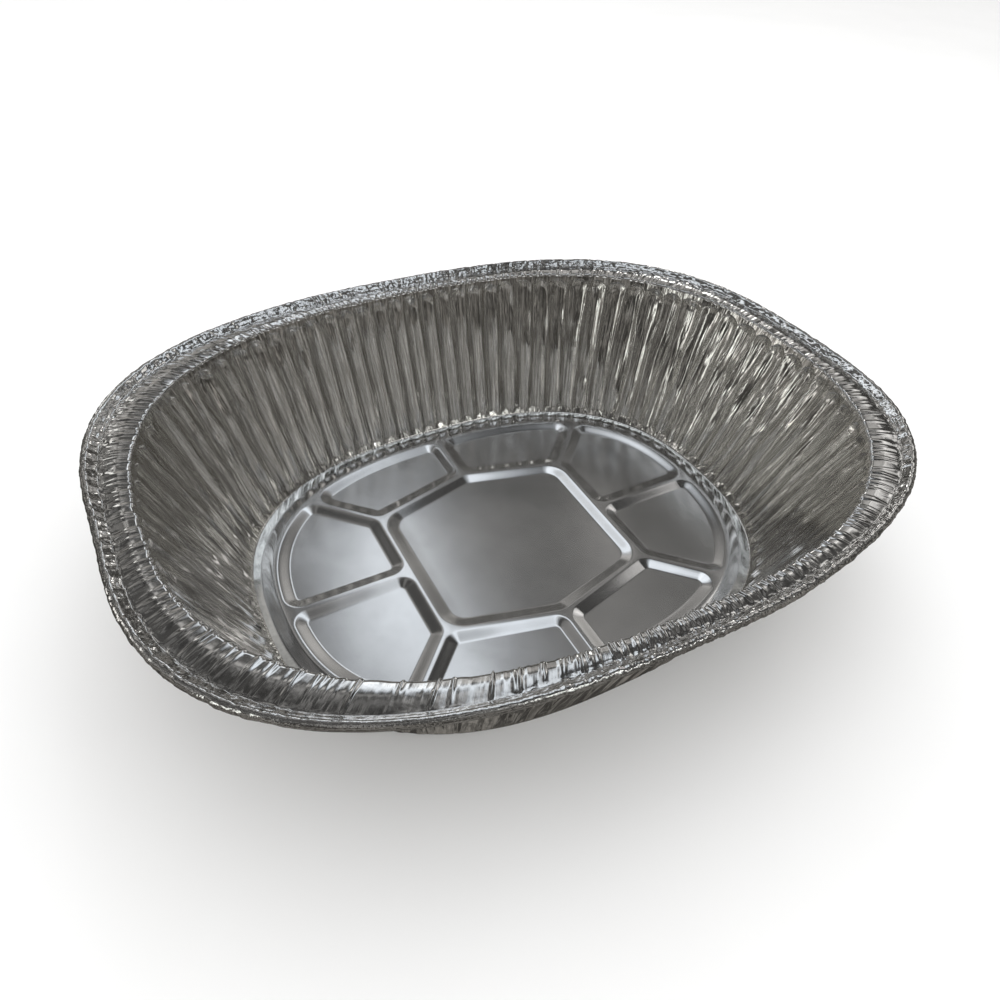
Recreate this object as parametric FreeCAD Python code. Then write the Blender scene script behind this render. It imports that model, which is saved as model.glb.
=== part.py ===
"""Oval foil roasting pan, pressed from one thin sheet of aluminium.

Frame: the origin is the middle of the underside, +X runs along the length, +Y across
the width and +Z up. Lengths are in millimetres. The sheet is described by its upper
skin, and its lower skin follows one gauge below or outside it.
"""
import FreeCAD, Part
import math
import os

from FreeCAD import Vector

SIZES = [
    ("gauge", 0.16, "thickness of the sheet"),
    ("foot_half_length", 165.0, "oval where the wall meets the bottom, along X"),
    ("foot_half_width", 130.0, "the same oval, along Y"),
    ("foot_squareness", 2.5, "exponent of that oval, 2 for an ellipse"),
    ("crease_half_length", 209.0, "oval at the top of the wall, along X"),
    ("crease_half_width", 163.0, "the same oval, along Y"),
    ("crease_squareness", 2.45, "exponent of that oval"),
    ("crease_height", 101.5, "height of the top of the wall"),
    ("rim_half_length", 230.8, "oval round the outside of the rolled edge, along X"),
    ("rim_half_width", 180.0, "the same oval, along Y"),
    ("rim_squareness", 2.65, "exponent of that oval"),
    ("crown_rise", 2.4, "how far the rim arches above the top of the wall"),
    ("shelf_inset", 9.4, "outer end of the smooth part of the rim, in from its edge"),
    ("shelf_rise", 2.0, "height of that line above the top of the wall"),
    ("groove_inset", 7.4, "groove beside the rolled edge, in from the edge"),
    ("groove_rise", 0.6, "height of the groove above the top of the wall"),
    ("bead_radius", 2.4, "radius of the rolled edge"),
    ("bead_rise", 0.8, "height of the middle of the roll above the top of the wall"),
    ("bead_start", 145.0, "direction from the roll's middle to its start, in degrees"),
    ("bead_turn", 275.0, "how far the edge is rolled round, in degrees"),
    ("flute_count", 84.0, "flutes round the wall"),
    ("flute_depth", 2.5, "how far the flutes are pressed outwards"),
    ("flute_foot", 9.0, "height over which the flutes rise out of the foot"),
    ("flute_arch", 8.0, "height over which they run out below the rim"),
    ("flute_fan", 0.05, "how far the flutes fan out from the foot up, in radians"),
    ("ridge_share", 0.2, "share of a flute's width that is its narrow ridge"),
    ("channel_share", 0.44, "share of a flute's width that is its broad channel"),
    ("panel_half_length", 142.5, "oval round the sunken panels, along X"),
    ("panel_half_width", 106.5, "the same oval, along Y"),
    ("panel_corner", 3.0, "corner radius of the sunken panels"),
    ("rib_height", 2.0, "height of the ribs between the panels"),
    ("rib_top", 2.6, "width of a rib's flat top"),
    ("rib_bevel", 7.2, "width of the slope on each side of a rib"),
    ("hexagon_half_length", 71.3, "middle of the rib at the hexagon's ends"),
    ("hexagon_half_width", 71.4, "middle of the rib at the hexagon's side corners"),
    ("hexagon_shoulder", 53.1, "distance of its four other corners from the X axis"),
    ("hexagon_corner", 10.0, "corner radius of the hexagonal panel"),
    ("spoke_angle", 45.0, "direction of the slanted ribs, in degrees from the X axis"),
]
NODE = "foil_pan"

# Facets in the rolled edge, in each run of the panels' oval and in a rounded corner
BEAD_STEPS = 6
OVAL_STEPS = 12
CORNER_STEPS = 4

# Share of a flute, to each side of a place, over which the sheet's direction is taken
FLANK = 0.25


def make_sheet(doc):
    """The spreadsheet of driving sizes: name, value and what it is."""
    sheet = doc.addObject("Spreadsheet::Sheet", "sizes")
    for row, (alias, value, note) in enumerate(SIZES, start=1):
        sheet.set("A%d" % row, alias)
        sheet.set("B%d" % row, str(value))
        sheet.set("C%d" % row, note)
        sheet.setAlias("B%d" % row, alias)
    doc.recompute()
    return sheet


doc = FreeCAD.newDocument("foil_roasting_pan")
sheet = make_sheet(doc)
size = {alias: float(sheet.get(alias)) for alias, value, note in SIZES}

gauge = size["gauge"]
flute_count = int(round(size["flute_count"]))
rib_height = size["rib_height"]
rib_half = size["rib_top"] / 2 + size["rib_bevel"]
deck_width = 2 * rib_half - size["rib_bevel"]
hexagon_end = size["hexagon_half_length"]
hexagon_side = size["hexagon_half_width"]
hexagon_shoulder = size["hexagon_shoulder"]
panel_oval = (size["panel_half_length"], size["panel_half_width"], size["foot_squareness"])
foot_oval = (size["foot_half_length"], size["foot_half_width"], size["foot_squareness"])
crease_oval = (size["crease_half_length"], size["crease_half_width"],
               size["crease_squareness"])
rim_oval = (size["rim_half_length"], size["rim_half_width"], size["rim_squareness"])


# Ovals and plan geometry

def oval_point(oval, angle):
    """Point of an oval in the direction of an angle, seen from the middle."""
    half_length, half_width, squareness = oval
    x, y = math.cos(angle), math.sin(angle)
    stretch = abs(x / half_length) ** squareness + abs(y / half_width) ** squareness
    reach = stretch ** (-1 / squareness)
    return Vector(reach * x, reach * y, 0)


def inside_oval(oval, point):
    half_length, half_width, squareness = oval
    return (abs(point.x / half_length) ** squareness
            + abs(point.y / half_width) ** squareness) < 1


def meet_oval(oval, start, direction):
    """Where a line from a point inside the oval runs out of it."""
    near, far = 0.0, 2 * max(oval[:2])
    for step in range(50):
        middle = (near + far) / 2
        if inside_oval(oval, start + direction * middle):
            near = middle
        else:
            far = middle
    return start + direction * near


def meet_lines(start_a, direction_a, start_b, direction_b):
    """Crossing of two lines in plan."""
    across = start_b - start_a
    turn = direction_a.x * direction_b.y - direction_a.y * direction_b.x
    along = (across.x * direction_b.y - across.y * direction_b.x) / turn
    return start_a + direction_a * along


def right_of(direction):
    """Unit vector square to a plan direction, on its right."""
    return Vector(direction.y, -direction.x, 0).normalize()


def side_normals(points, index):
    """Outward normals of the two sides that meet at a point of an anticlockwise outline."""
    before = points[index - 1]
    here = points[index]
    after = points[(index + 1) % len(points)]
    return right_of(here - before), right_of(after - here)


def rounded(corners):
    """Points of an anticlockwise outline from its corners, each a point and a radius."""
    sharp = [corner for corner, radius in corners]
    points = []
    for index, (corner, radius) in enumerate(corners):
        if radius == 0:
            points.append(corner)
            continue
        out_before, out_after = side_normals(sharp, index)
        half_turn = out_before.getAngle(out_after) / 2
        centre = corner - (out_before + out_after).normalize() * (radius / math.cos(half_turn))
        first = math.atan2(out_before.y, out_before.x)
        for step in range(CORNER_STEPS + 1):
            angle = first + 2 * half_turn * step / CORNER_STEPS
            points.append(centre + Vector(math.cos(angle), math.sin(angle), 0) * radius)
    return points


def outline(corners):
    """Points of an outline, each with its move when every side moves outwards by one."""
    points = rounded(corners)
    mitred = []
    for index, point in enumerate(points):
        out_before, out_after = side_normals(points, index)
        half_turn = out_before.getAngle(out_after) / 2
        mitred.append((point, (out_before + out_after).normalize() * (1 / math.cos(half_turn))))
    return mitred


def moved_outline(points, distance, height):
    """The outline with each side moved outwards by a distance, at a height."""
    return [point + mitre * distance + Vector(0, 0, height) for point, mitre in points]


# Sunken panels of the bottom

def hexagon_outline():
    """Edge of the flat floor of the middle panel."""
    radius = size["hexagon_corner"]
    ring = [(hexagon_end, -hexagon_shoulder), (hexagon_end, hexagon_shoulder),
            (0, hexagon_side), (-hexagon_end, hexagon_shoulder),
            (-hexagon_end, -hexagon_shoulder), (0, -hexagon_side)]
    middle_line = outline([(Vector(x, y, 0), 0) for x, y in ring])
    floor = moved_outline(middle_line, -rib_half, 0)
    return outline([(point, radius) for point in floor])


def oval_run(start, end):
    """Points of the panels' oval between two of its points, ends left out."""
    first = math.atan2(start.y, start.x)
    last = math.atan2(end.y, end.x)
    angles = [first + (last - first) * step / OVAL_STEPS for step in range(1, OVAL_STEPS)]
    return [(oval_point(panel_oval, angle), 0) for angle in angles]


def outer_panels():
    """Edges of the flat floors of the end panel and the side panel of one quarter."""
    radius = size["panel_corner"]
    shoulder = Vector(hexagon_end, hexagon_shoulder, 0)
    angle = math.radians(size["spoke_angle"])
    spoke = Vector(math.cos(angle), math.sin(angle), 0)
    below_spoke = shoulder + right_of(spoke) * rib_half
    above_spoke = shoulder - right_of(spoke) * rib_half
    side = Vector(-hexagon_end, hexagon_side - hexagon_shoulder, 0).normalize()
    beyond_side = shoulder + right_of(side) * rib_half
    along_x, along_y = Vector(1, 0, 0), Vector(0, 1, 0)

    near_end = Vector(hexagon_end + rib_half, rib_half, 0)
    end_inner = meet_lines(near_end, along_y, below_spoke, spoke)
    end_tip = meet_oval(panel_oval, end_inner, spoke)
    end_foot = meet_oval(panel_oval, near_end, along_x)
    end_panel = [(near_end, radius), (end_foot, radius)] + oval_run(end_foot, end_tip)
    end_panel += [(end_tip, radius), (end_inner, radius)]

    beside_x = Vector(rib_half, 0, 0)
    side_inner = meet_lines(above_spoke, spoke, beyond_side, side)
    side_near = meet_lines(beside_x, along_y, beyond_side, side)
    side_tip = meet_oval(panel_oval, side_inner, spoke)
    side_top = meet_oval(panel_oval, side_near, along_y)
    side_panel = [(side_inner, radius), (side_tip, radius)] + oval_run(side_tip, side_top)
    side_panel += [(side_top, radius), (side_near, radius)]
    return [end_panel, side_panel]


def mirrored(corners, flip_x, flip_y):
    """A panel's corners in another quarter, still anticlockwise."""
    turned = [(Vector(flip_x * point.x, flip_y * point.y, 0), radius)
              for point, radius in corners]
    return turned if flip_x * flip_y > 0 else turned[::-1]


def panel_outlines():
    """Edges of all nine sunken floors."""
    outlines = [hexagon_outline()]
    for corners in outer_panels():
        for flip_x, flip_y in ((1, 1), (-1, 1), (-1, -1), (1, -1)):
            outlines.append(outline(mirrored(corners, flip_x, flip_y)))
    return outlines


# Rings of the wall and the rim. A place round the pan is counted in flutes.

def crease_angle(place):
    """Direction of a place round the pan. The long axis runs between two ridges."""
    return 2 * math.pi * (place + 0.5) / flute_count


def foot_angle(place):
    """The flutes lean away from the middle of each long side as they go down."""
    angle = crease_angle(place)
    return angle - size["flute_fan"] * math.sin(2 * angle)


def flute_share(place):
    """Share of the full flute depth at a place: ridge at whole numbers, channel between."""
    from_ridge = abs(place - round(place))
    ridge_end = size["ridge_share"] / 2
    channel_start = (1 - size["channel_share"]) / 2
    share = (from_ridge - ridge_end) / (channel_start - ridge_end)
    return min(max(share, 0), 1)


def wall_point(place, height, depth):
    """Point of the wall at a height, pressed outwards by a share of a depth."""
    foot = oval_point(foot_oval, foot_angle(place))
    crease = oval_point(crease_oval, crease_angle(place))
    climb = height / size["crease_height"]
    point = foot + (crease - foot) * climb
    outwards = Vector(point.x, point.y, 0).normalize()
    return point + outwards * (depth * flute_share(place)) + Vector(0, 0, height)


def rim_point(place, inset, rise):
    """Point of the rim a distance in from its edge and above the top of the wall."""
    edge = oval_point(rim_oval, crease_angle(place))
    crease = oval_point(crease_oval, crease_angle(place))
    inwards = (crease - edge).normalize()
    return edge + inwards * inset + Vector(0, 0, size["crease_height"] + rise)


def crown_point(place):
    """Highest line of the rim, halfway between the wall and the end of the smooth part."""
    edge = oval_point(rim_oval, crease_angle(place))
    crease = oval_point(crease_oval, crease_angle(place))
    width = (edge - crease).Length
    return rim_point(place, (width + size["shelf_inset"]) / 2, size["crown_rise"])


def bead_point(place, step):
    """Point on the rolled edge, which turns outwards, down and back in."""
    angle = math.radians(size["bead_start"] - size["bead_turn"] * step / BEAD_STEPS)
    radius = size["bead_radius"]
    inset = radius - radius * math.cos(angle)
    return rim_point(place, inset, size["bead_rise"] + radius * math.sin(angle))


def flute_places():
    """Four places in each flute, at the corners of its ridge and of its channel."""
    ridge = size["ridge_share"] / 2
    channel = (1 - size["channel_share"]) / 2
    return [flute + part for flute in range(flute_count)
            for part in (ridge, channel, 1 - channel, 1 - ridge)]


def even_places(per_flute):
    """Places on the ridges, and in the channels too where there are two in a flute."""
    return [step / per_flute for step in range(flute_count * per_flute)]


def stations():
    """The rings of the upper skin, from the foot of the wall to the edge of the foil."""
    top = size["crease_height"] - size["flute_arch"]
    depth = size["flute_depth"]
    rings = [
        (even_places(2), lambda place: wall_point(place, gauge, 0)),
        (flute_places(), lambda place: wall_point(place, size["flute_foot"], depth)),
        (flute_places(), lambda place: wall_point(place, top, depth)),
        (even_places(2), lambda place: wall_point(place, size["crease_height"], 0)),
        (even_places(1), crown_point),
        (even_places(1), lambda place: rim_point(place, size["shelf_inset"], size["shelf_rise"])),
        (even_places(1), lambda place: rim_point(place, size["groove_inset"], size["groove_rise"])),
    ]
    for step in range(BEAD_STEPS + 1):
        rings.append((even_places(1), lambda place, step=step: bead_point(place, step)))
    return rings


def through_sheet(rings, index, place):
    """Move from the upper skin to the lower one at a place on a ring."""
    here = rings[index][1](place)
    along = rings[index][1](place + FLANK) - rings[index][1](place - FLANK)
    climb = Vector(0, 0, 0)
    if index > 0:
        climb += (here - rings[index - 1][1](place)).normalize()
    if index < len(rings) - 1:
        climb += (rings[index + 1][1](place) - here).normalize()
    outwards = along.cross(climb).normalize()
    if index == 0:
        half_corner = math.tan(math.acos(-outwards.z) / 2)
        outwards = Vector(outwards.x, outwards.y, 0).normalize() * half_corner
        outwards.z = -1
    return outwards * gauge


def skin_rings():
    """Matching rings of the upper and the lower skin, as lists of place and point."""
    rings = stations()
    upper = [[(place, surface(place)) for place in places] for places, surface in rings]
    lower = [[(place, point + through_sheet(rings, index, place)) for place, point in ring]
             for index, ring in enumerate(upper)]
    return upper, lower


# Faces

def flat_face(outer, holes=()):
    """A flat face inside a polygon, less the polygons of its holes."""
    wires = [Part.makePolygon(list(points) + [points[0]]) for points in (outer, *holes)]
    return Part.makeFace(wires, "Part::FaceMakerBullseye") if holes else Part.Face(wires[0])


def band(first, second):
    """Triangles between two closed rings of places and points."""
    faces = []
    a, b = 0, 0
    turn = flute_count
    while a < len(first) or b < len(second):
        here_a, point_a = first[a % len(first)]
        here_b, point_b = second[b % len(second)]
        next_a = first[(a + 1) % len(first)][0] + turn * ((a + 1) // len(first))
        next_b = second[(b + 1) % len(second)][0] + turn * ((b + 1) // len(second))
        step_a = b >= len(second) or (a < len(first) and next_a <= next_b)
        if step_a:
            a += 1
            corner = first[a % len(first)][1]
        else:
            b += 1
            corner = second[b % len(second)][1]
        faces.append(flat_face([point_a, corner, point_b]))
    return faces


def slope(low, high):
    """Flat four-sided faces between two matching outlines."""
    count = len(low)
    return [flat_face([low[i], low[(i + 1) % count], high[(i + 1) % count], high[i]])
            for i in range(count)]


def bottom_faces(panels, foot_ring, height):
    """One skin of the bottom: panels, ribs, the raised deck and the flat gutter."""
    bevel = size["rib_bevel"]
    edge = outline([(oval_point(panel_oval, 2 * math.pi * step / flute_count), 0)
                    for step in range(flute_count)])
    deck_height = height + rib_height
    faces = []
    rib_edges = []
    for panel in panels:
        floor = moved_outline(panel, 0, height)
        rib_edge = moved_outline(panel, bevel, deck_height)
        faces.append(flat_face(floor))
        faces.extend(slope(floor, rib_edge))
        rib_edges.append(rib_edge)
    deck_edge = moved_outline(edge, deck_width, deck_height)
    gutter_edge = moved_outline(edge, deck_width + bevel, height)
    faces.append(flat_face(deck_edge, rib_edges))
    faces.extend(slope(deck_edge, gutter_edge))
    faces.append(flat_face([point for place, point in foot_ring], [gutter_edge]))
    return faces


def pan_shape():
    """The whole sheet as one closed solid."""
    upper, lower = skin_rings()
    panels = panel_outlines()
    faces = bottom_faces(panels, upper[0], gauge)
    faces.extend(bottom_faces(panels, lower[0], 0))
    for rings in (upper, lower):
        for first, second in zip(rings, rings[1:]):
            faces.extend(band(first, second))
    faces.extend(band(upper[-1], lower[-1]))
    sewn = Part.makeCompound(faces)
    sewn.sewShape()
    solid = Part.Solid(sewn.Shells[0])
    if solid.Volume < 0:
        solid.reverse()
    return solid


pan = doc.addObject("Part::Feature", NODE)
pan.Label = NODE
pan.Shape = pan_shape()
pan.Placement = FreeCAD.Placement()
doc.recompute()

for item in doc.Objects:
    if "Invalid" in item.State or "Error" in item.State:
        raise RuntimeError("%s did not build" % item.Label)
if pan.Shape.isNull() or not pan.Shape.isValid() or len(pan.Shape.Solids) != 1:
    raise RuntimeError("%s is not one valid solid" % NODE)

os.makedirs("parts", exist_ok=True)
pan.Shape.exportStep(os.path.join("parts", NODE + ".step"))
print("%s: %.1f cm3, %d faces" % (NODE, pan.Shape.Volume / 1000, len(pan.Shape.Faces)))
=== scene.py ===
"""Oval foil roasting pan: one pressed sheet of aluminium, shown on a plain pale floor.

Lengths are in metres, in the CAD frame: the origin is the middle of the underside,
+X runs along the pan, +Y across it and +Z up. The sheet is drawn as a bottom, a fluted
wall in three pieces, a flange and a rolled edge, which meet where the sheet is creased.
"""
import math

import bmesh
import bpy
import numpy as np
from mathutils import Matrix, Vector


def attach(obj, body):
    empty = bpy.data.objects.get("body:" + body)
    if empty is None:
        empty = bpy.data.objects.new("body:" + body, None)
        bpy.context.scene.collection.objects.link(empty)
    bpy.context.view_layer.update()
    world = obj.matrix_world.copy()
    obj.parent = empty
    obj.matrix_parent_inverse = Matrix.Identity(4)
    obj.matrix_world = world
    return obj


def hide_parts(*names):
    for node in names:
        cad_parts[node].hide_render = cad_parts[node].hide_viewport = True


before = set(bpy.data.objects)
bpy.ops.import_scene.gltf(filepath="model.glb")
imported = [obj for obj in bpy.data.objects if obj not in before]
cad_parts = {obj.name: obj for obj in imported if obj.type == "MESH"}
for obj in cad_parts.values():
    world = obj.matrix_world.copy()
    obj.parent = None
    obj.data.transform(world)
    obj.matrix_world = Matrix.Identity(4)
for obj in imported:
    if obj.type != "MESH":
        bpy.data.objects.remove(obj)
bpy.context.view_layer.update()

# Sizes of the pan, as in the CAD source apart from a flange that is a little flatter
GAUGE = 0.00016
FOOT_OVAL = (0.165, 0.130, 2.5)
CREASE_OVAL = (0.209, 0.163, 2.45)
RIM_OVAL = (0.2308, 0.180, 2.65)
PANEL_OVAL = (0.1425, 0.1065, 2.5)
CREASE_HEIGHT = 0.1015
FLUTES = 84
FLUTE_FAN = 0.05
FLUTE_DEPTH = 0.0025
CROWN_RISE = 0.0017
SHELF_INSET, SHELF_RISE = 0.0094, 0.0004
GROOVE_INSET, GROOVE_RISE = 0.0074, 0.0
BEAD_RADIUS, BEAD_RISE = 0.0024, 0.0008
BEAD_START, BEAD_TURN = 145.0, 275.0
RIB_HEIGHT, RIB_TOP, RIB_BEVEL = 0.0020, 0.0026, 0.0072
HEXAGON_END, HEXAGON_SIDE, HEXAGON_SHOULDER = 0.0713, 0.0714, 0.0531
HEXAGON_CORNER, PANEL_CORNER = 0.010, 0.003
SPOKE_ANGLE = math.radians(45)

# Lengths round the wall and the rim, for the texture maps
WALL_ROUND, RIM_ROUND = 1.09, 1.27

# Fineness of the meshes
WALL_COLUMNS = FLUTES * 30
WALL_PIECES = 3
RIM_COLUMNS = FLUTES * 30
BOTTOM_COLUMNS = FLUTES * 7
CORNER_STEPS = 8
OVAL_STEPS = 36

# Camera, fitted to the photograph
CAMERA_PLACE = Vector((-0.1936, -0.3085, 0.3649))
CAMERA_TARGET = Vector((0.0007, 0.0055, 0.0300))
CAMERA_ROLL = math.radians(4.43)
CAMERA_LENS = 27.54
CAMERA_SHIFT = (-0.0087, 0.0007)


# Plan geometry

def oval(shape, angle):
    """Points of an oval in the directions of angles, as an array of x and y."""
    half_length, half_width, squareness = shape
    x, y = np.cos(angle), np.sin(angle)
    stretch = np.abs(x / half_length) ** squareness + np.abs(y / half_width) ** squareness
    reach = stretch ** (-1 / squareness)
    return np.stack([reach * x, reach * y], axis=-1)


def crease_angle(place):
    """Directions of places round the pan. The long axis runs between two ridges."""
    return 2 * np.pi * (place + 0.5) / FLUTES


def foot_angle(place):
    """The flutes lean away from the middle of each long side as they go down."""
    angle = crease_angle(place)
    return angle - FLUTE_FAN * np.sin(2 * angle)


def places(columns):
    """Places round the pan, counted in flutes, with a ridge at each whole number."""
    return np.arange(columns) * (FLUTES / columns)


def unit(vectors):
    """The vectors, each at a length of one."""
    return vectors / np.linalg.norm(vectors, axis=-1, keepdims=True)


# Smooth and creased noise, the same on every run

def wave_noise(u, v, cells_u, cells_v, seed):
    """Smooth noise between -1 and 1, with u from 0 to 1 round the pan and v from 0 to 1."""
    knots = np.random.default_rng(seed).uniform(-1, 1, (cells_u, cells_v + 2))
    cell_u, part_u = np.divmod(np.asarray(u) % 1 * cells_u, 1)
    cell_v, part_v = np.divmod(np.clip(v, 0, 1) * cells_v, 1)
    cell_u, cell_v = cell_u.astype(int) % cells_u, cell_v.astype(int)
    part_u, part_v = part_u ** 2 * (3 - 2 * part_u), part_v ** 2 * (3 - 2 * part_v)
    next_u = (cell_u + 1) % cells_u
    near = knots[cell_u, cell_v] * (1 - part_u) + knots[next_u, cell_v] * part_u
    far = knots[cell_u, cell_v + 1] * (1 - part_u) + knots[next_u, cell_v + 1] * part_u
    return near * (1 - part_v) + far * part_v


def fold_noise(u, folds, seed):
    """Sharp zigzag between -1 and 1 with unevenly spaced folds, for u from 0 to 1."""
    random = np.random.default_rng(seed)
    gaps = random.uniform(0.25, 1.75, folds)
    knots = np.cumsum(gaps) / gaps.sum()
    heights = random.uniform(-1, 1, folds)
    return np.interp(np.asarray(u) % 1, knots, heights, period=1)


def smooth_step(value):
    """From 0 to 1, with a soft start and a soft end."""
    value = np.clip(value, 0, 1)
    return value * value * (3 - 2 * value)


# Bends of the rim: direction, half width, push inwards of crease and of edge, lift of edge
BENDS = [
    (92, 45, 0.0, -0.0004, 0.0014),
    (154, 16, 0.0, -0.0018, 0.0006),
    (181, 10, 0.0, 0.0018, 0.0),
    (207, 14, 0.0, -0.0014, 0.0),
    (246, 26, 0.0008, 0.0016, 0.0016),
    (302, 17, -0.0014, 0.0030, 0.0),
    (338, 14, 0.0, -0.0010, 0.0004),
]
BEND_CLIMB = 1.5


def bend(points, edge_share):
    """Presses the soft rim and wall out of round, more towards the top."""
    angle = np.degrees(np.arctan2(points[..., 1], points[..., 0]))
    climb = np.clip(points[..., 2] / CREASE_HEIGHT, 0, 1) ** BEND_CLIMB
    outwards = unit(points[..., :2])
    moved = points.copy()
    for direction, half_width, crease_push, edge_push, lift in BENDS:
        away = (angle - direction + 180) % 360 - 180
        share = np.exp(-(away / half_width) ** 2) * climb
        push = (crease_push * (1 - edge_share) + edge_push * edge_share) * share
        moved[..., :2] -= outwards * push[..., None]
        moved[..., 2] += lift * edge_share * share
    return moved


# Meshes

def grid_mesh(name, points, around, across, closed=True):
    """Mesh of a strip from rows of points, with a map of metres round and across."""
    rows, columns = points.shape[:2]
    index = np.arange(rows * columns).reshape(rows, columns)
    after = np.roll(index, -1, axis=1)
    faces = np.stack([index[:-1], after[:-1], after[1:], index[1:]], axis=-1)
    along = np.append(around, 2 * around[-1] - around[-2])
    corner_u = np.stack([along[:-1], along[1:], along[1:], along[:-1]], axis=-1)
    corner_u = np.broadcast_to(corner_u, faces.shape)
    corner_v = np.stack([across[:-1], across[:-1], across[1:], across[1:]], axis=-1)
    corner_v = np.broadcast_to(corner_v[:, None, :], faces.shape)
    if not closed:
        faces, corner_u, corner_v = faces[:, :-1], corner_u[:, :-1], corner_v[:, :-1]
    mesh = bpy.data.meshes.new(name)
    mesh.from_pydata(points.reshape(-1, 3).tolist(), [], faces.reshape(-1, 4).tolist())
    layer = mesh.uv_layers.new(name="sheet")
    layer.data.foreach_set("uv", np.stack([corner_u, corner_v], axis=-1).ravel())
    return mesh


def sharpen_border(mesh):
    """Keeps the shading of the skin apart from the cut edge of the sheet."""
    loops = np.empty(len(mesh.loops), dtype=int)
    mesh.loops.foreach_get("edge_index", loops)
    border = np.bincount(loops, minlength=len(mesh.edges)) == 1
    mesh.edges.foreach_set("use_edge_sharp", border)


def foil_piece(name, mesh, material):
    """A piece of the sheet: the mesh is its upper skin, and the gauge goes below it."""
    piece = bpy.data.objects.new(name, mesh)
    bpy.context.scene.collection.objects.link(piece)
    mesh.polygons.foreach_set("use_smooth", [True] * len(mesh.polygons))
    sharpen_border(mesh)
    mesh.materials.append(material)
    thickness = piece.modifiers.new("gauge", "SOLIDIFY")
    thickness.thickness = GAUGE
    thickness.offset = -1
    thickness.use_even_offset = False
    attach(piece, "root")
    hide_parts("foil_pan")


# Wall

FOOT_FILLET = [(0.0011, 0.0), (0.0006, 0.00012), (0.00022, 0.00042), (0.00005, 0.0009)]
FLUTE_FOOT_START, FLUTE_FOOT_STEP, FLUTE_FOOT_END = 0.0003, 0.0046, 0.032
FLUTE_FOOT_SHARE = 0.66
ARCH_TOP, ARCH_DROP, ARCH_EDGE, ARCH_FADE = 0.0022, 0.0060, 0.0008, 0.0060
ARCH_EDGE_SHARE = 0.60
ARCH_ROUNDNESS = 0.97
RIDGE_SHARPNESS = 0.75
FOLD_REACH = 0.13
WALL_ROWS_FROM, FOOT_ROWS_TO, ARCH_ROWS_FROM = 0.0014, 0.008, 0.090
DENTS = 800
DENT_LOW, DENT_SPREAD = 0.012, 0.086
DENT_TILT_REACH = 0.012
WRINKLE_BANDS = 5
BROAD_WRINKLES, FINE_WRINKLES = 300, 760
SHALLOW_SHARE, SHALLOW_TO = 0.75, 0.06
DENTED_FROM, DENTED_BELOW_CREASE, DENTS_FADE = 0.010, 0.002, 0.008
WOBBLE_FROM, WOBBLE_RUN = 0.092, 0.009


def wall_heights():
    """Heights of the wall's rows, closer together at the foot and at the arches."""
    foot = np.linspace(WALL_ROWS_FROM, FOOT_ROWS_TO, 9)
    middle = np.linspace(FOOT_ROWS_TO, ARCH_ROWS_FROM, 15)[1:-1]
    top = np.linspace(ARCH_ROWS_FROM, CREASE_HEIGHT, 22)
    return np.concatenate([foot, middle, top])


def rumple(angle):
    """How crumpled the foil is round the pan: least amid the long sides, most at +X."""
    far_side = np.exp(-((angle - np.radians(93)) / np.radians(30)) ** 2)
    near_side = np.exp(-((angle - np.radians(280)) / np.radians(38)) ** 2)
    from_end = (angle - np.radians(350) + np.pi) % (2 * np.pi) - np.pi
    right_end = np.exp(-(from_end / np.radians(45)) ** 2)
    return 1 + 0.35 * right_end - 0.84 * far_side - 0.8 * near_side


def crease_wobble(place):
    """Small unevenness of the crease, shared by the wall and the rim."""
    u = place / FLUTES
    return 0.00045 * fold_noise(u, 240, 11) + 0.0004 * wave_noise(u, 0, 60, 1, 12)


def flute_press(place, height):
    """How far the flutes are pressed outwards at places and heights.

    A flute is a rounded channel with a small fold in it. It opens at an arch below the
    crease and closes towards its foot, and is shallow low down on the near side.
    """
    u = place / FLUTES
    climb = height / CREASE_HEIGHT
    crumpled = rumple(crease_angle(place))
    warped = place + (0.01 + 0.11 * crumpled) * wave_noise(u, climb, FLUTES, 5, 21)
    across = warped - np.floor(warped)
    flute = np.floor(warped).astype(int) % FLUTES
    random = np.random.default_rng(22)
    deep = random.uniform(0.8, 1.12, FLUTES)[flute]
    fold_at = random.uniform(0.3, 0.7, FLUTES)[flute]
    fold_size = random.uniform(-0.05, 0.16, FLUTES)[flute] * (0.4 + climb * (1 - climb) * 2)
    channel = deep * np.sin(np.pi * across) ** RIDGE_SHARPNESS
    channel = channel - fold_size * np.clip(1 - np.abs(across - fold_at) / FOLD_REACH, 0, 1)
    off_middle = np.abs(2 * across - 1)
    arch_side = 1 - np.sqrt(1 - ARCH_ROUNDNESS * off_middle ** 2)
    arch = CREASE_HEIGHT - ARCH_TOP - ARCH_DROP * arch_side
    open_top = ARCH_EDGE_SHARE * smooth_step((arch - height) / ARCH_EDGE)
    open_top = open_top + (1 - ARCH_EDGE_SHARE) * smooth_step((arch - height) / ARCH_FADE)
    above_foot = height - FLUTE_FOOT_START
    open_foot = FLUTE_FOOT_SHARE * smooth_step(above_foot / FLUTE_FOOT_STEP)
    open_foot = open_foot + (1 - FLUTE_FOOT_SHARE) * smooth_step(above_foot / FLUTE_FOOT_END)
    near_side = np.exp(-((crease_angle(place) - np.radians(255)) / np.radians(42)) ** 2)
    shallow = 1 - SHALLOW_SHARE * near_side * (1 - smooth_step(height / SHALLOW_TO))
    return FLUTE_DEPTH * channel * open_top * open_foot * shallow


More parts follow.
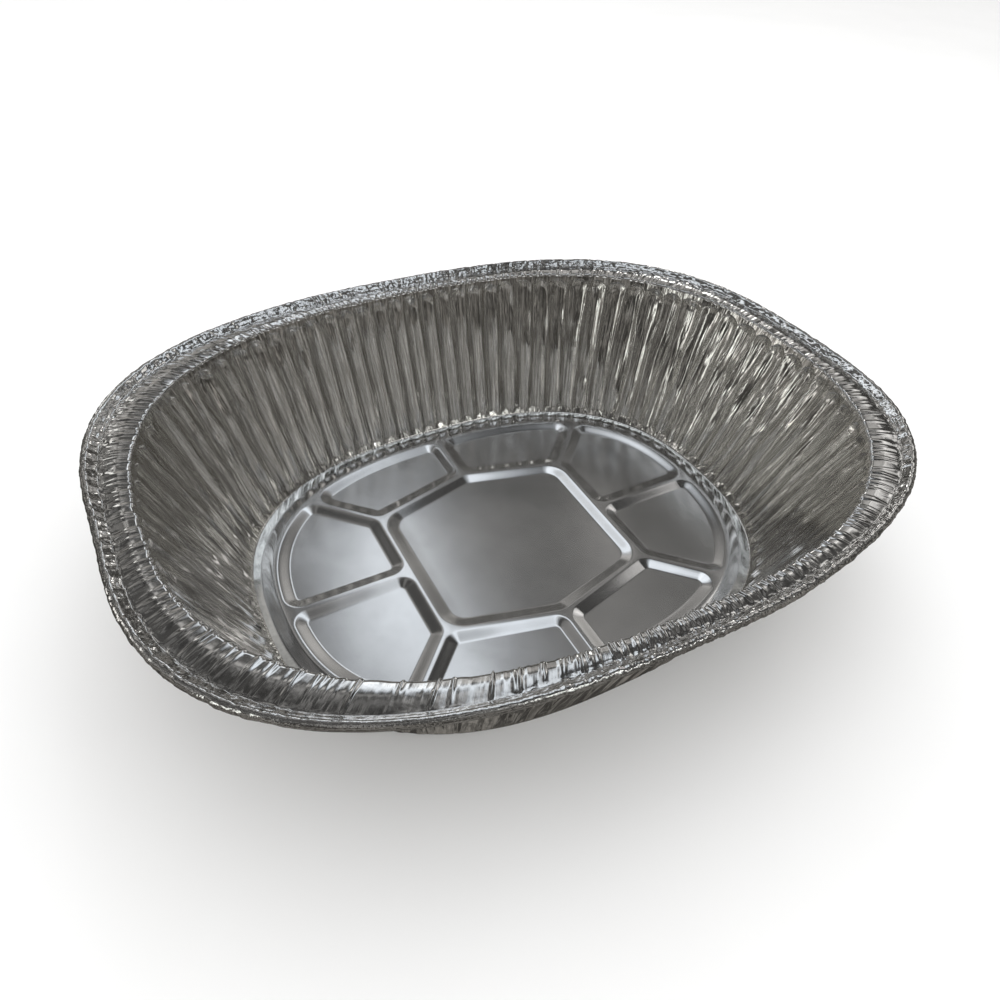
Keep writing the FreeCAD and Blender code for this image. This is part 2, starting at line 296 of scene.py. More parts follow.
def wall_dents(place, height):
    """Shallow handling dents, more of them where the foil is crumpled."""
    random = np.random.default_rng(31)
    total = np.zeros(np.broadcast(place, height).shape)
    for _ in range(DENTS):
        centre = random.uniform(0, FLUTES)
        level = DENT_LOW + DENT_SPREAD * random.uniform() ** 0.75
        reach_u = random.uniform(0.12, 0.5)
        reach_z = random.uniform(0.003, 0.015)
        depth = random.uniform(-0.0008, 0.0010)
        tilt = random.uniform(-0.5, 0.5)
        if random.uniform() > rumple(crease_angle(centre)):
            continue
        across = (place - centre + FLUTES / 2) % FLUTES - FLUTES / 2
        across = across + tilt * (height - level) / DENT_TILT_REACH
        distance = np.sqrt((across / reach_u) ** 2 + ((height - level) / reach_z) ** 2)
        total += depth * np.clip(1 - distance, 0, 1)
    return total


def wall_wrinkles(place, height):
    """Upright wrinkles that wander and change as they climb."""
    u = place / FLUTES
    climb = height / CREASE_HEIGHT
    wander = u + 0.0012 * wave_noise(u, climb, 60, 4, 34)
    crumpled = rumple(crease_angle(place))
    level = climb * (WRINKLE_BANDS - 1.001)
    total = 0
    for band in range(WRINKLE_BANDS):
        share = np.clip(1 - np.abs(level - band), 0, 1)
        broad = fold_noise(wander, BROAD_WRINKLES, 35 + band)
        fine = fold_noise(wander, FINE_WRINKLES, 135 + band)
        total = total + share * (0.00002 + 0.00046 * crumpled) * broad
        total = total + share * (0.00005 + 0.00016 * crumpled) * fine
    return total


def wall_part(name, first, last, material):
    """The wall between two ridges. Dents and wrinkles stay clear of foot and crease."""
    place = np.linspace(first, last, (last - first) * WALL_COLUMNS // FLUTES + 1)[None, :]
    rows = FOOT_FILLET + [(0.0, height) for height in wall_heights()]
    inset = np.array([row[0] for row in rows])[:, None]
    height = np.array([row[1] for row in rows])[:, None]
    climb = height / CREASE_HEIGHT

    def sloped(place):
        foot = oval(FOOT_OVAL, foot_angle(place))
        crease = oval(CREASE_OVAL, crease_angle(place))
        return foot + (crease - foot) * climb[..., None]

    plan, tangent = sloped(place), sloped(place + 0.02) - sloped(place - 0.02)
    outwards = unit(np.stack([tangent[..., 1], -tangent[..., 0]], axis=-1))
    below_crease = CREASE_HEIGHT - height - DENTED_BELOW_CREASE
    dented = smooth_step(height / DENTED_FROM) * smooth_step(below_crease / DENTS_FADE)
    wobbly = smooth_step((height - WOBBLE_FROM) / WOBBLE_RUN)
    press = flute_press(place, height)
    press = press + dented * (wall_dents(place, height) + wall_wrinkles(place, height))
    press = press + crease_wobble(place) * wobbly - inset
    plan = plan + outwards * press[..., None]
    level = np.broadcast_to(height + GAUGE * (1 - climb), plan.shape[:2])
    points = bend(np.concatenate([plan, level[..., None]], axis=-1), np.zeros(plan.shape[:2]))
    mesh = grid_mesh(name, points, place[0] / FLUTES * WALL_ROUND, height[:, 0], closed=False)
    foil_piece(name, mesh, material)


def make_wall(material):
    flutes = FLUTES // WALL_PIECES
    for number in range(WALL_PIECES):
        wall_part(f"pan_wall_{number + 1}", number * flutes, (number + 1) * flutes, material)


# Rim

CROWN_PLACE = 0.42
LIP_INSET, LIP_RISE = 0.0006, 0.00120
BEAD_INNER_EDGE = 0.002
BEAD_STEPS = 12
FLANGE_SHARES = (0.08, 0.18, 0.28, 0.38, 0.48, 0.58, 0.69, 0.8, 0.9)
PLEAT_LEAN = 0.0016
BROAD_FACET, SHARP_FACET, OUTER_FACET = 0.00010, 0.00010, 0.00022
CRUMPLE_SIDE, CRUMPLE_LIFT = 0.00040, 0.00045

# Pleats of the rim: count, seed, height, half width and shortest reach over the rim
PLEATS = (105, 45, 0.0013, 0.0010, 0.4)
FINE_PLEATS = (240, 46, 0.0009, 0.0015, 0.9)

# How gathered the edge of the foil is, by direction in degrees
GATHERED_AT, GATHERED = [0, 212, 223, 236, 246, 256], [1, 0.9, 0.1, 0.05, 0.8, 1]

# How far in from the groove the rim is crumpled, as a share of its width
CRUMPLED_AT = [0, 20, 45, 75, 125, 150, 180, 205, 230, 315, 340]
CRUMPLED = [0.35, 0.40, 0.40, 0.80, 1.05, 0.35, 0.05, 0.0, 0.0, 0.0, 0.20]


def rim_pleats(place, share, count, seed, tall, wide, shortest):
    """Narrow pleats that start at the crease and run out over the rim, fading."""
    random = np.random.default_rng(seed)
    gaps = random.uniform(0.35, 1.65, count)
    centres = np.cumsum(gaps) / gaps.sum()
    total = np.zeros(len(place))
    for centre in centres:
        rise = random.uniform(0.35, 1.0) * tall
        half = random.uniform(0.6, 1.3) * wide
        reach = random.uniform(shortest, 1.5)
        lean = random.uniform(-0.9, 0.9) * PLEAT_LEAN
        spread = random.uniform(-0.5, 0.9)
        if share > reach:
            continue
        away = (place / FLUTES - centre + 0.5) % 1 - 0.5
        away = away * RIM_ROUND - lean * share
        fade = 1 - share / reach
        ridge = np.clip(1 - np.abs(away) / (half * (1 + spread * share)), 0, 1)
        total = np.maximum(total, rise * fade ** 0.7 * ridge)
    return total


def flange_profile(width):
    """Rows from the crease over the crown: distances in from the edge, and heights."""
    rows = [(width, 0.0), (width - 0.00008, 0.00050), (width - 0.0003, 0.00090),
            (width - LIP_INSET, LIP_RISE)]
    for share in FLANGE_SHARES:
        inset = (width - LIP_INSET) * (1 - share) + SHELF_INSET * share
        climb = min(share / CROWN_PLACE, 1)
        fall = max(share - CROWN_PLACE, 0) / (1 - CROWN_PLACE)
        rise = LIP_RISE + (CROWN_RISE - LIP_RISE) * climb * (1.3 - 0.3 * climb)
        rise = rise - (CROWN_RISE - SHELF_RISE) * fall ** 1.3
        rows.append((inset, rise))
    for share in (0, 0.25, 0.5, 0.75):
        inset = SHELF_INSET + (GROOVE_INSET - SHELF_INSET) * share
        rows.append((inset, SHELF_RISE + (GROOVE_RISE - SHELF_RISE) * share))
    return rows


def bead_profile(joint):
    """Rows from the flange's last row over the groove and round the rolled edge."""
    rows = [joint, (GROOVE_INSET, GROOVE_RISE), (0.0068, 0.0008), (0.0060, 0.0012),
            (0.0052, 0.0017)]
    for step in range(BEAD_STEPS + 1):
        angle = math.radians(BEAD_START - BEAD_TURN * step / BEAD_STEPS)
        rows.append((BEAD_RADIUS - BEAD_RADIUS * math.cos(angle),
                     BEAD_RISE + BEAD_RADIUS * math.sin(angle)))
    return rows


def rim_plan(place):
    """At places round the pan: the rim's edge, the way in from it and the rim's width."""
    edge = oval(RIM_OVAL, crease_angle(place))
    crease = oval(CREASE_OVAL, crease_angle(place))
    width = np.linalg.norm(edge - crease, axis=-1)
    return edge, (crease - edge) / width[:, None], width


def crumple(u, row, amount):
    """Small sharp facets where the edge of the foil is gathered, changing from row to row."""
    return amount * (0.5 * fold_noise(u, 420, 49) + 0.7 * fold_noise(u, 640, 50 + row))


def rim_strip(name, profile, first_row, material):
    """A strip of the rim along the rows of a profile, pleated near the crease and
    crumpled near the edge."""
    place = places(RIM_COLUMNS)
    u = place / FLUTES
    edge, inwards, width = rim_plan(place)
    broad, sharp = fold_noise(u, 170, 41), fold_noise(u, 430, 42)
    outer = fold_noise(u, 560, 43)
    degrees = np.degrees(crease_angle(place)) % 360
    gathered = 0.06 + 0.94 * np.interp(degrees, GATHERED_AT, GATHERED, period=360)
    reach = np.interp(degrees, CRUMPLED_AT, CRUMPLED, period=360)
    points = np.empty((len(profile), RIM_COLUMNS, 3))
    edge_share = np.empty((len(profile), RIM_COLUMNS))
    for row, (inset, rise) in enumerate(profile):
        share = np.clip((width - inset) / (width - SHELF_INSET), 0, 1)
        along = float(np.mean(share))
        pleat, fine = rim_pleats(place, along, *PLEATS), rim_pleats(place, along, *FINE_PLEATS)
        pleat = np.maximum(pleat, fine * gathered)
        facets = BROAD_FACET * broad + SHARP_FACET * sharp * gathered
        facets = facets * smooth_step(share * 6)
        facets = facets + OUTER_FACET * outer * gathered * smooth_step(share * 2 - 0.9)
        beyond = np.clip((SHELF_INSET - inset) / (SHELF_INSET - GROOVE_INSET), 0, 1)
        crumpled = smooth_step((share - 1 + reach) / 0.12) * smooth_step(share * 8)
        beyond = np.maximum(beyond, crumpled)
        shift = crease_wobble(place) * (1 - smooth_step(share * 3))
        shift = shift - pleat * (0.8 * (1 - share) ** 2)
        gather = beyond * gathered
        side = gather * crumple(u, first_row + row + 100, CRUMPLE_SIDE)
        lift = (pleat + facets) * (1 - beyond)
        lift = lift + gather * crumple(u, first_row + row, CRUMPLE_LIFT)
        points[row, :, :2] = edge + inwards * (inset - shift + side)[:, None]
        points[row, :, 2] = CREASE_HEIGHT + rise + lift
        edge_share[row] = np.clip((width - inset) / (width - BEAD_INNER_EDGE), 0, 1)
    points = bend(points, edge_share)
    steps = np.linalg.norm(np.diff(points[:, 0], axis=0), axis=-1)
    across = np.concatenate([[0], np.cumsum(steps)])
    mesh = grid_mesh(name, points, u * RIM_ROUND, across)
    foil_piece(name, mesh, material)


def make_rim(flange_material, bead_material):
    flange = flange_profile(rim_plan(places(RIM_COLUMNS))[-1])
    rim_strip("pan_flange", flange, 0, flange_material)
    rim_strip("pan_bead", bead_profile(flange[-1]), len(flange) - 1, bead_material)


# Bottom, where plan points are complex numbers, x + y j

HALVINGS = 50
OVAL_CLEARANCE = 1.3 * PANEL_CORNER


def right_of(direction):
    """The direction of length one that points to the right of another."""
    return -1j * direction / abs(direction)


def meet_lines(start_a, direction_a, start_b, direction_b):
    """Where two lines meet, each given by a point and a direction."""
    across = start_b - start_a
    turn = (direction_a.conjugate() * direction_b).imag
    return start_a + direction_a * ((across.conjugate() * direction_b).imag / turn)


def meet_oval(start, direction):
    """Where a line from inside the panels' oval runs out of it."""
    half_length, half_width, squareness = PANEL_OVAL
    near, far = 0.0, 2 * half_length
    for _ in range(HALVINGS):
        middle = (near + far) / 2
        point = start + direction * middle
        stretch = abs(point.real / half_length) ** squareness
        stretch += abs(point.imag / half_width) ** squareness
        if stretch < 1:
            near = middle
        else:
            far = middle
    return start + direction * near


def rounded(corners):
    """Points of an anticlockwise outline from its corners, each a point and a radius."""
    points = []
    for index, (corner, radius) in enumerate(corners):
        out_before = right_of(corner - corners[index - 1][0])
        out_after = right_of(corners[(index + 1) % len(corners)][0] - corner)
        if radius == 0:
            points.append(corner)
            continue
        half_turn = math.atan2((out_after / out_before).imag, (out_after / out_before).real) / 2
        middle = (out_before + out_after) / abs(out_before + out_after)
        centre = corner - middle * radius / math.cos(half_turn)
        for step in range(CORNER_STEPS + 1):
            turn = 2 * half_turn * step / CORNER_STEPS
            points.append(centre + out_before * complex(math.cos(turn), math.sin(turn)) * radius)
    return points


def mitres(points):
    """For each point of an outline, its move when every side moves outwards by one."""
    moves = []
    for index, point in enumerate(points):
        out_before = right_of(point - points[index - 1])
        out_after = right_of(points[(index + 1) % len(points)] - point)
        middle = (out_before + out_after) / abs(out_before + out_after)
        moves.append(middle / (middle.conjugate() * out_before).real)
    return moves


def oval_run(start, end):
    """Points of the oval between two corners, none of them inside the rounded corners."""
    first, last = math.atan2(start.imag, start.real), math.atan2(end.imag, end.real)
    run = [complex(x, y) for x, y in oval(PANEL_OVAL, np.linspace(first, last, OVAL_STEPS))]
    return [(point, 0) for point in run
            if min(abs(point - start), abs(point - end)) > OVAL_CLEARANCE]


def panel_outlines():
    """Edges of the nine sunken floors."""
    rib_half = RIB_TOP / 2 + RIB_BEVEL
    ring = [complex(HEXAGON_END, -HEXAGON_SHOULDER), complex(HEXAGON_END, HEXAGON_SHOULDER),
            complex(0, HEXAGON_SIDE), complex(-HEXAGON_END, HEXAGON_SHOULDER),
            complex(-HEXAGON_END, -HEXAGON_SHOULDER), complex(0, -HEXAGON_SIDE)]
    floor = [point - move * rib_half for point, move in zip(ring, mitres(ring))]
    outlines = [rounded([(point, HEXAGON_CORNER) for point in floor])]

    radius = PANEL_CORNER
    shoulder = complex(HEXAGON_END, HEXAGON_SHOULDER)
    spoke = complex(math.cos(SPOKE_ANGLE), math.sin(SPOKE_ANGLE))
    side = complex(-HEXAGON_END, HEXAGON_SIDE - HEXAGON_SHOULDER)
    below_spoke = shoulder + right_of(spoke) * rib_half
    above_spoke = shoulder - right_of(spoke) * rib_half
    beyond_side = shoulder + right_of(side) * rib_half

    near_end = complex(HEXAGON_END + rib_half, rib_half)
    end_inner = meet_lines(near_end, 1j, below_spoke, spoke)
    end_tip, end_foot = meet_oval(end_inner, spoke), meet_oval(near_end, 1)
    end_panel = [(near_end, radius), (end_foot, radius)] + oval_run(end_foot, end_tip)
    end_panel += [(end_tip, radius), (end_inner, radius)]

    side_inner = meet_lines(above_spoke, spoke, beyond_side, side)
    side_near = meet_lines(complex(rib_half, 0), 1j, beyond_side, side)
    side_tip, side_top = meet_oval(side_inner, spoke), meet_oval(side_near, 1j)
    side_panel = [(side_inner, radius), (side_tip, radius)] + oval_run(side_tip, side_top)
    side_panel += [(side_top, radius), (side_near, radius)]

    for corners in (end_panel, side_panel):
        for flip_x, flip_y in ((1, 1), (-1, 1), (-1, -1), (1, -1)):
            turned = [(complex(flip_x * point.real, flip_y * point.imag), size)
                      for point, size in corners]
            outlines.append(rounded(turned if flip_x * flip_y > 0 else turned[::-1]))
    return outlines


EDGE_ROUND = 0.0008
BEVEL_ROWS = [-0.0008, -0.0003, 0.0002, 0.0008, 0.0026, 0.0046, 0.0064, 0.0070, 0.0075, 0.0080]


def soft_ramp(distance):
    """Zero, then rising one to one, with the corner rounded."""
    if distance <= -EDGE_ROUND:
        return 0.0
    if distance >= EDGE_ROUND:
        return distance
    return (distance + EDGE_ROUND) ** 2 / (4 * EDGE_ROUND)


def bevel_height(distance):
    """Height of the sheet at a distance out from the edge of a sunken floor."""
    rise = (soft_ramp(distance) - soft_ramp(distance - RIB_BEVEL)) / RIB_BEVEL
    return GAUGE + RIB_HEIGHT * rise


def make_bottom(deck, gutter):
    """The nine sunken floors, the ribs and deck round them, and the gutter by the wall."""
    bm = bmesh.new()

    def ring_of(points, height):
        return [bm.verts.new((point.real, point.imag, height)) for point in points]

    def strip(inner, outer, material_index=0):
        count = len(inner)
        for i in range(count):
            j = (i + 1) % count
            face = bm.faces.new((inner[i], outer[i], outer[j], inner[j]))
            face.material_index = material_index

    def ring_edges(ring):
        return [bm.edges.get((ring[i - 1], ring[i])) for i in range(len(ring))]

    deck_edges = []
    for points in panel_outlines():
        moves = mitres(points)
        rings = [ring_of([p + m * row for p, m in zip(points, moves)], bevel_height(row))
                 for row in BEVEL_ROWS]
        bm.faces.new(rings[0])
        for inner, outer in zip(rings, rings[1:]):
            strip(inner, outer)
        deck_edges += ring_edges(rings[-1])

    place = places(BOTTOM_COLUMNS)
    edge = [complex(x, y) for x, y in oval(PANEL_OVAL, foot_angle(place))]
    foot = [complex(x, y) for x, y in oval(FOOT_OVAL, foot_angle(place))]
    moves = mitres(edge)
    foot_moves = mitres(foot)
    rings = []
    for row in reversed(BEVEL_ROWS):
        distance = 2 * RIB_BEVEL + RIB_TOP - row
        rings.append(ring_of([p + m * distance for p, m in zip(edge, moves)], bevel_height(row)))
    last = ring_of([p - m * FOOT_FILLET[0][0] for p, m in zip(foot, foot_moves)], GAUGE)
    for inner, outer in zip(rings, rings[1:]):
        strip(inner, outer)
    strip(rings[-1], last, 1)
    deck_edges += ring_edges(rings[0])
    bmesh.ops.triangle_fill(bm, use_beauty=True, edges=deck_edges)
    bmesh.ops.recalc_face_normals(bm, faces=bm.faces)
    bm.faces.ensure_lookup_table()
    if bm.faces[0].normal.z < 0:
        bmesh.ops.reverse_faces(bm, faces=bm.faces)
    layer = bm.loops.layers.uv.new("sheet")
    for face in bm.faces:
        for loop in face.loops:
            loop[layer].uv = (loop.vert.co.y, loop.vert.co.x)
    mesh = bpy.data.meshes.new("pan_bottom")
    bm.to_mesh(mesh)
    bm.free()
    foil_piece("pan_bottom", mesh, deck)
    mesh.materials.append(gutter)


# Materials

def node_material(name):
    """A new material, with its nodes, links and shader."""
    material = bpy.data.materials.new(name)
    material.use_nodes = True
    nodes, links = material.node_tree.nodes, material.node_tree.links
    shader = next(node for node in nodes if node.type == "BSDF_PRINCIPLED")
    return material, nodes, links, shader


def coordinates(nodes, links, output, scale):
    """Texture coordinates of an output of the coordinate node, stretched by a scale."""
    source = nodes.new("ShaderNodeTexCoord")
    mapping = nodes.new("ShaderNodeMapping")
    mapping.inputs["Scale"].default_value = scale
    links.new(source.outputs[output], mapping.inputs["Vector"])
    return mapping.outputs["Vector"]


def noise(nodes, links, vector, scale, detail=3.0, roughness=0.55):
    """Cloudy noise, finer as the scale grows."""
    node = nodes.new("ShaderNodeTexNoise")
    node.inputs["Scale"].default_value = scale
    node.inputs["Detail"].default_value = detail
    node.inputs["Roughness"].default_value = roughness
    links.new(vector, node.inputs["Vector"])
    return node.outputs["Fac"]


def ranged(nodes, links, value, low, high, from_low=0.3, from_high=0.7):
    """A value stretched to run from low to high where it ran between the from limits."""
    node = nodes.new("ShaderNodeMapRange")
    node.inputs["From Min"].default_value = from_low
    node.inputs["From Max"].default_value = from_high
    node.inputs["To Min"].default_value = low
    node.inputs["To Max"].default_value = high
    links.new(value, node.inputs["Value"])
    return node.outputs["Result"]


def bump(nodes, links, height, strength, distance, below=None):
    """A bump of a height, on top of another where one is given."""
    node = nodes.new("ShaderNodeBump")
    node.inputs["Strength"].default_value = strength
    node.inputs["Distance"].default_value = distance
    links.new(height, node.inputs["Height"])
    if below is not None:
        links.new(below, node.inputs["Normal"])
    return node.outputs["Normal"]


def patchy_color(nodes, links, shader, vector, scale, low, high, share=None):
    """A colour that varies in patches from low to high. A share holds it nearer to low."""
    ramp = nodes.new("ShaderNodeMix")
    ramp.data_type = "RGBA"
    ramp.inputs["A"].default_value = low
    ramp.inputs["B"].default_value = high
    patches = ranged(nodes, links, noise(nodes, links, vector, scale), 0, 1)
    if share is not None:
        product = nodes.new("ShaderNodeMath")
        product.operation = "MULTIPLY"
        links.new(patches, product.inputs[0])
        links.new(share, product.inputs[1])
        patches = product.outputs["Value"]
    links.new(patches, ramp.inputs["Factor"])
    links.new(ramp.outputs["Result"], shader.inputs["Base Color"])


def deck_material():
    """Satin foil with rolling lines along the pan, burnished where the ribs slope."""
    material, nodes, links, shader = node_material("foil_deck")
    shader.inputs["Metallic"].default_value = 1.0
    plain = coordinates(nodes, links, "Object", (1, 1, 1))
    rolled = coordinates(nodes, links, "Object", (300, 1500, 300))
    patchy_color(nodes, links, shader, plain, 40, (0.76, 0.76, 0.765, 1), (0.86, 0.86, 0.865, 1))
    surface = nodes.new("ShaderNodeNewGeometry")
    split = nodes.new("ShaderNodeSeparateXYZ")
    links.new(surface.outputs["Normal"], split.inputs["Vector"])
    slope = ranged(nodes, links, split.outputs["Z"], 0.14, 0.21, 0.970, 0.999)
    links.new(slope, shader.inputs["Roughness"])
    shader.inputs["Anisotropic"].default_value = 0.85
    across_lines = nodes.new("ShaderNodeTangent")
    across_lines.direction_type = "UV_MAP"
    across_lines.uv_map = "sheet"
    links.new(across_lines.outputs["Tangent"], shader.inputs["Tangent"])
    lines = noise(nodes, links, rolled, 1.0, 2.0)
    waves = bump(nodes, links, noise(nodes, links, plain, 30, 1.0), 0.06, 0.0006)
    grain = bump(nodes, links, noise(nodes, links, plain, 1600, 2.0), 0.02, 0.00008, waves)
    streaks = bump(nodes, links, lines, 0.02, 0.00006, grain)
    links.new(streaks, shader.inputs["Normal"])
    return material


def gutter_material():
    """Burnished foil of the gutter between the deck and the wall."""
    material, nodes, links, shader = node_material("foil_gutter")
    shader.inputs["Metallic"].default_value = 1.0
    plain = coordinates(nodes, links, "Object", (1, 1, 1))
    patchy_color(nodes, links, shader, plain, 70, (0.76, 0.77, 0.765, 1), (0.90, 0.91, 0.90, 1))
    worn = noise(nodes, links, plain, 240, 3.0)
    links.new(ranged(nodes, links, worn, 0.07, 0.13), shader.inputs["Roughness"])
    waves = bump(nodes, links, noise(nodes, links, plain, 110, 2.0), 0.12, 0.0007)
    links.new(waves, shader.inputs["Normal"])
    return material


def crinkle(nodes, links, vector, scale):
    """Distance to the nearest crease of a net of fine creases."""
    node = nodes.new("ShaderNodeTexVoronoi")
    node.feature = "DISTANCE_TO_EDGE"
    node.inputs["Scale"].default_value = scale
    links.new(vector, node.inputs["Vector"])
    return node.outputs["Distance"]


def wall_material():
    """Bright foil drawn down the flutes: upright streaks and small crinkles. Its colour carries
    painted shade: darker along the fine creases, lighter and darker in fine upright streaks,
    standing in for the shading of the small wrinkles.
    """
    material, nodes, links, shader = node_material("foil_wall")
    shader.inputs["Metallic"].default_value = 1.0
    drawn = coordinates(nodes, links, "UV", (1, 0.06, 1))
    cells = coordinates(nodes, links, "UV", (1, 0.05, 1))
    crossed = coordinates(nodes, links, "UV", (1, 0.16, 1))
    streaks = noise(nodes, links, drawn, 900, 3.0)
    scored = crinkle(nodes, links, cells, 330)
    # Painted shade: the colour is held darker along the crinkle creases and varies lighter and
    # darker in fine upright streaks.
    painted_crease_shade = ranged(nodes, links, scored, 0.1, 1.0, 0.0, 0.15)
    patchy_color(nodes, links, shader, drawn, 620, (0.60, 0.59, 0.57, 1), (1.0, 0.99, 0.97, 1),
                 painted_crease_shade)
    links.new(ranged(nodes, links, streaks, 0.04, 0.09), shader.inputs["Roughness"])
    folds = bump(nodes, links, scored, 0.30, 0.0008)
    creases = bump(nodes, links, crinkle(nodes, links, crossed, 260), 0.16, 0.0007, folds)
    fine = bump(nodes, links, streaks, 0.25, 0.0004, creases)
    links.new(fine, shader.inputs["Normal"])
    return material


def rim_material(name, crumpled):
    """Bright foil, crinkled across the rim and crumpled along its rolled edge."""
    material, nodes, links, shader = node_material(name)
    shader.inputs["Metallic"].default_value = 1.0
    plain = coordinates(nodes, links, "Object", (1, 1, 1))
    across = coordinates(nodes, links, "UV", (1, 0.12, 1))
    patchy_color(nodes, links, shader, plain, 60, (0.70, 0.695, 0.69, 1), (0.84, 0.84, 0.84, 1))
    streaks = noise(nodes, links, across, 700, 3.0)
    links.new(ranged(nodes, links, streaks, 0.09, 0.16), shader.inputs["Roughness"])
    pleats = bump(nodes, links, streaks, 0.12, 0.0003)
    scale, strength = (380, 0.28) if crumpled else (160, 0.10)
    soft = bump(nodes, links, noise(nodes, links, plain, scale, 2.0), strength, 0.0009, pleats)
    links.new(soft, shader.inputs["Normal"])
    return material


def floor_material():
    """Plain pale floor."""
    material, nodes, links, shader = node_material("pale_floor")
    plain = coordinates(nodes, links, "Object", (1, 1, 1))
    shader.inputs["Roughness"].default_value = 0.85
    patchy_color(nodes, links, shader, plain, 6, (0.86, 0.86, 0.86, 1), (0.88, 0.88, 0.88, 1))
    return material


# Studio

FLOOR_REACH = 6.0
FLOOR_GAP = 0.0002


def make_floor():
    """A plain floor just below the pan, which the foil doesn't mirror."""
    mesh = bpy.data.meshes.new("floor")
    reach = FLOOR_REACH
    corners = [(-reach, -reach, 0), (reach, -reach, 0), (reach, reach, 0), (-reach, reach, 0)]
    mesh.from_pydata(corners, [], [(0, 1, 2, 3)])
    floor = bpy.data.objects.new("floor", mesh)
    floor.location.z = -FLOOR_GAP
    mesh.materials.append(floor_material())
    floor.visible_glossy = False
    bpy.context.scene.collection.objects.link(floor)


def area_light(name, place, target, width, depth, brightness, color):
    """A rectangular light whose face is that many times as bright as white."""
    light = bpy.data.lights.new(name, "AREA")
    light.shape = "RECTANGLE"
    light.size, light.size_y = width, depth
    light.energy = brightness * math.pi * width * depth
    light.color = color
    lamp = bpy.data.objects.new(name, light)
    lamp.location = place
    lamp.rotation_euler = (Vector(target) - Vector(place)).to_track_quat("-Z", "Y").to_euler()
    bpy.context.scene.collection.objects.link(lamp)
    return lamp


# Long strips overhead, brightest in the middle: left edge, right edge and brightness
CEILING_STRIPS = [(0.07, 0.13, 0.22), (0.13, 0.20, 0.60), (0.20, 0.37, 1.0), (0.37, 0.43, 0.45),
                  (0.43, 0.49, 0.18)]
STRIP_DEPTH, STRIP_MIDDLE, STRIP_HEIGHT = 1.9, 0.85, 1.2
STRIP_COLOR = (0.88, 0.94, 1.0)

# Lamps that face the pan: name, place, width, depth, brightness and colour
LAMPS = [
    ("side_lamp", (1.5, 0.3, 1.3), 0.5, 0.9, 0.6, (1.0, 0.98, 0.95)),
    ("left_lamp", (-1.35, 0.75, 0.5), 0.2, 0.8, 1.15, (1.0, 0.99, 0.95)),
    ("far_lamp", (-0.5, 1.5, 0.45), 0.15, 0.7, 1.1, (1.0, 0.99, 0.95)),
    ("front_lamp", (0.6, -1.1, 1.15), 0.3, 0.3, 2.6, (1.0, 1.0, 0.97)),
    ("corner_lamp", (1.3, 1.2, 0.7), 0.2, 0.4, 2.5, (1.0, 0.99, 0.96)),
    ("left_window", (-1.5, -0.4, 0.5), 0.2, 0.8, 1.2, (0.97, 1.0, 0.95)),
    ("back_window", (0.3, -1.6, 1.1), 0.25, 0.9, 1.1, (0.97, 1.0, 0.95)),
]

# Colours of the room, each at the upward part of its direction
ROOM_COLORS = [
    (0.06, (0.150, 0.142, 0.130)),
    (0.30, (0.105, 0.101, 0.094)),
    (0.60, (0.210, 0.205, 0.196)),
    (0.84, (0.105, 0.103, 0.100)),
]
BACKDROP_COLOR = (0.90, 0.90, 0.90, 1)


def make_lights():
    """A soft-edged panel overhead, lamps for sparkle, and a soft fill for the floor."""
    for number, (left, right, brightness) in enumerate(CEILING_STRIPS):
        middle = (left + right) / 2
        area_light(f"ceiling_strip_{number + 1}", (middle, STRIP_MIDDLE, STRIP_HEIGHT),
                   (middle, STRIP_MIDDLE, 0), right - left, STRIP_DEPTH, brightness, STRIP_COLOR)
    for name, place, width, depth, brightness, color in LAMPS:
        area_light(name, place, (0, 0, 0), width, depth, brightness, color)
    fill = area_light("floor_fill", (0, 1.0, 4.0), (0, 1.0, 0), 12.0, 12.0, 1.35, (1, 1, 1))
    low_fill = area_light("low_fill", (-1.6, -2.6, 1.3), (0, 0, 0), 3.0, 1.5, 1.6, (1, 1, 1))
    fill.visible_glossy = low_fill.visible_glossy = False


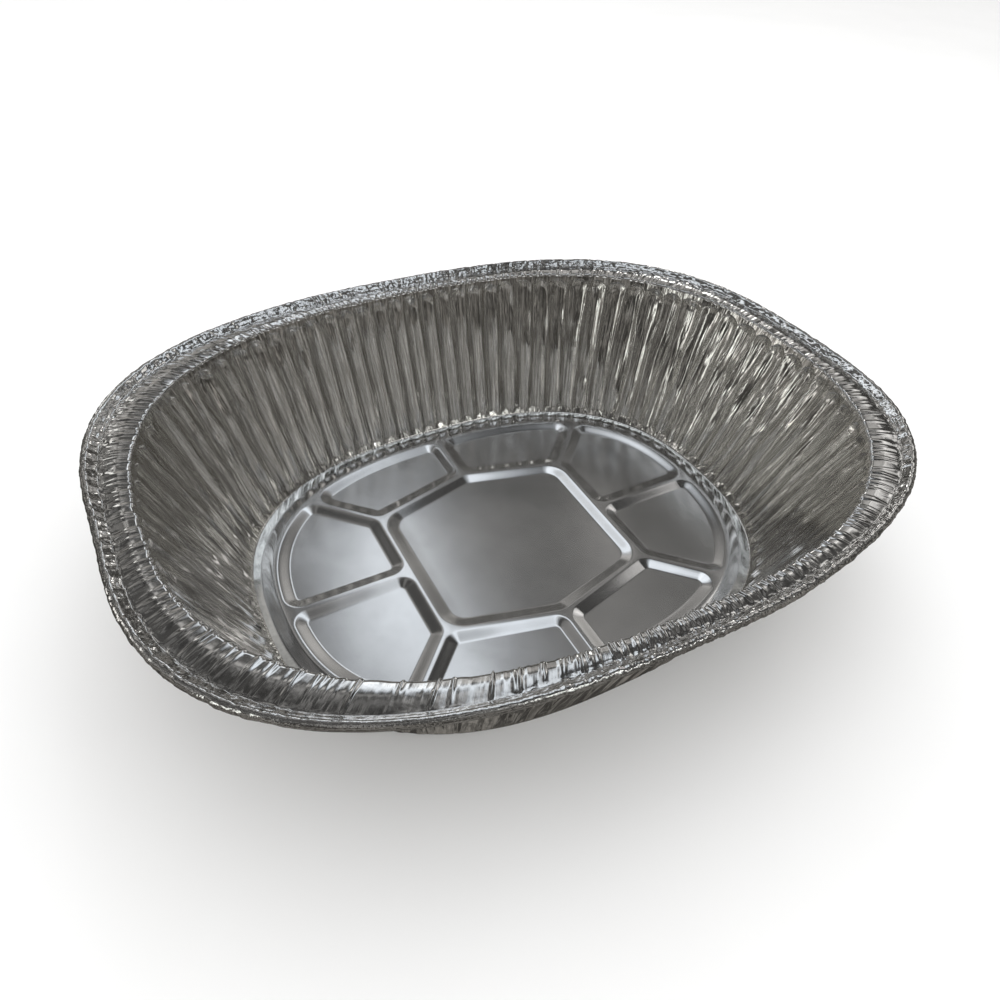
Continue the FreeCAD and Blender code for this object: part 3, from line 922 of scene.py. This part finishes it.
def make_world():
    """A soft patchy room round the pan, behind a plain pale backdrop for the camera."""
    world = bpy.data.worlds.new("studio")
    bpy.context.scene.world = world
    world.use_nodes = True
    nodes, links = world.node_tree.nodes, world.node_tree.links
    source = nodes.new("ShaderNodeTexCoord")
    split = nodes.new("ShaderNodeSeparateXYZ")
    ramp = nodes.new("ShaderNodeValToRGB")
    stops = ramp.color_ramp.elements
    for upwards, _ in ROOM_COLORS[1:-1]:
        stops.new(upwards)
    for stop, (upwards, color) in zip(stops, ROOM_COLORS):
        stop.position = upwards
        stop.color = (*color, 1)
    links.new(source.outputs["Generated"], split.inputs["Vector"])
    links.new(split.outputs["Z"], ramp.inputs["Fac"])
    links.new(ramp.outputs["Color"], nodes["Background"].inputs["Color"])
    room = coordinates(nodes, links, "Generated", (1, 1, 0.35))
    clouds = noise(nodes, links, room, 5.0, 2.0)
    patches = ranged(nodes, links, clouds, 0.4, 3.2, 0.47, 0.66)
    low_patches = ranged(nodes, links, clouds, 0.3, 1.8, 0.42, 0.66)
    above_horizon = ranged(nodes, links, split.outputs["Z"], 0, 1, -0.02, 0.08)
    strength = nodes.new("ShaderNodeMix")
    links.new(low_patches, strength.inputs["A"])
    links.new(above_horizon, strength.inputs["Factor"])
    links.new(patches, strength.inputs["B"])
    links.new(strength.outputs["Result"], nodes["Background"].inputs["Strength"])
    backdrop = nodes.new("ShaderNodeBackground")
    backdrop.inputs["Color"].default_value = BACKDROP_COLOR
    path, chosen = nodes.new("ShaderNodeLightPath"), nodes.new("ShaderNodeMixShader")
    links.new(path.outputs["Is Camera Ray"], chosen.inputs["Fac"])
    links.new(nodes["Background"].outputs["Background"], chosen.inputs[1])
    links.new(backdrop.outputs["Background"], chosen.inputs[2])
    links.new(chosen.outputs["Shader"], nodes["World Output"].inputs["Surface"])


def make_camera():
    """The photograph's view."""
    data = bpy.data.cameras.new("camera")
    data.lens = CAMERA_LENS
    data.sensor_width = 36
    data.shift_x, data.shift_y = CAMERA_SHIFT
    data.clip_start, data.clip_end = 0.01, 50
    camera = bpy.data.objects.new("camera", data)
    aim = (CAMERA_TARGET - CAMERA_PLACE).to_track_quat("-Z", "Y").to_matrix()
    turned = aim @ Matrix.Rotation(CAMERA_ROLL, 3, "Z")
    camera.matrix_world = Matrix.Translation(CAMERA_PLACE) @ turned.to_4x4()
    bpy.context.scene.collection.objects.link(camera)
    bpy.context.scene.camera = camera


bpy.context.scene.view_settings.view_transform = "Standard"
make_bottom(deck_material(), gutter_material())
make_wall(wall_material())
make_rim(rim_material("foil_rim", False), rim_material("foil_edge", True))
make_floor()
make_lights()
make_world()
make_camera()
